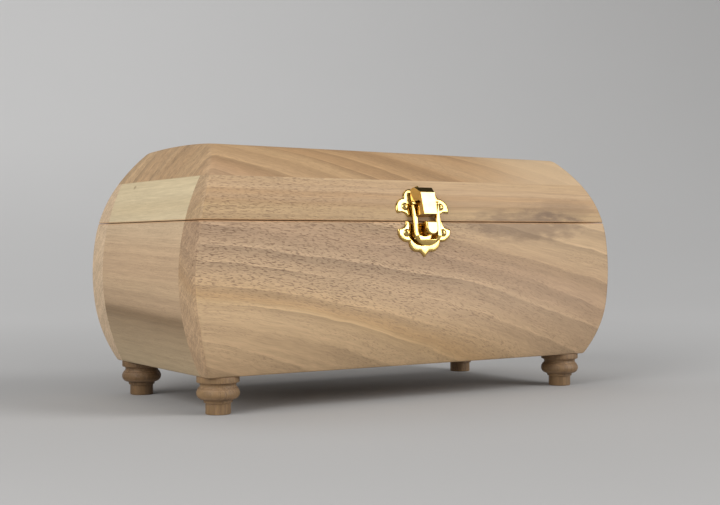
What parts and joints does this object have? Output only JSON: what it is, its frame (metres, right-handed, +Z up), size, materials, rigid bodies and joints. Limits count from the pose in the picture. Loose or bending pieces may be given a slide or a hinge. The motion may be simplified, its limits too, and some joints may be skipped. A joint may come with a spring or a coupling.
{
  "type": "hinged keepsake box",
  "caption": "Bulged wooden keepsake box on turned feet, with a hinged lid held shut by a small swinging brass hasp.",
  "frame": {"origin": "on the floor, under the middle of the box", "axes": "+X along the box's length, to its right seen from the front; +Y to the back, where the hinges are; +Z up"},
  "size_m": [0.25, 0.1408, 0.1271],
  "materials": {
    "walnut_box_front": "bare sanded walnut, pinkish tan with dark pore flecks",
    "walnut_box_end": "bare sanded walnut, pale tan with an olive-brown band",
    "walnut_lid_front": "bare sanded walnut, yellowish tan with fine straight grain",
    "walnut_sapwood": "bare sanded sapwood, pale cream",
    "walnut_top": "bare sanded walnut, orange-brown with slanting grain",
    "walnut_feet": "bare turned walnut, darker brown",
    "polished_brass": "polished yellow brass",
    "brass_hinges": "lightly brushed yellow brass",
    "brass_fasteners": "polished yellow brass"
  },
  "bodies": {
    "box": {"box_front_board": "walnut_box_front", "box_back_board": "walnut_box_front", "box_left_end": "walnut_box_end", "box_right_end": "walnut_box_end", "bottom_board": "walnut_box_end", "foot_front_left": "walnut_feet", "foot_front_right": "walnut_feet", "foot_back_left": "walnut_feet", "foot_back_right": "walnut_feet", "left_hinge_box_leaf": "brass_hinges", "right_hinge_box_leaf": "brass_hinges", "left_hinge_pin": "brass_fasteners", "right_hinge_pin": "brass_fasteners", "hinge_box_screws": "brass_fasteners", "latch_box_plate": "polished_brass", "latch_nose": "polished_brass", "latch_box_screws": "brass_fasteners"},
    "lid": {"lid_front_board": "walnut_lid_front", "lid_back_board": "walnut_lid_front", "lid_left_end": "walnut_sapwood", "lid_right_end": "walnut_sapwood", "lid_top_board": "walnut_top", "left_hinge_lid_leaf": "brass_hinges", "right_hinge_lid_leaf": "brass_hinges", "hinge_lid_screws": "brass_fasteners", "latch_lid_plate": "polished_brass", "latch_block": "polished_brass", "latch_lid_screws": "brass_fasteners"},
    "hasp": {"latch_hasp": "polished_brass", "latch_hasp_pin": "brass_fasteners"}
  },
  "joints": [
    {"name": "lid_hinge", "type": "hinge", "parent": "box", "child": "lid", "pos_m": [0, 0.06606, 0.0894], "axis": [-1, 0, 0], "range_deg": [0, 105]},
    {"name": "hasp_swing", "type": "hinge", "parent": "lid", "child": "hasp", "pos_m": [0, -0.06393, 0.0983], "axis": [-1, 0, 0], "range_deg": [0, 150]}
  ]
}
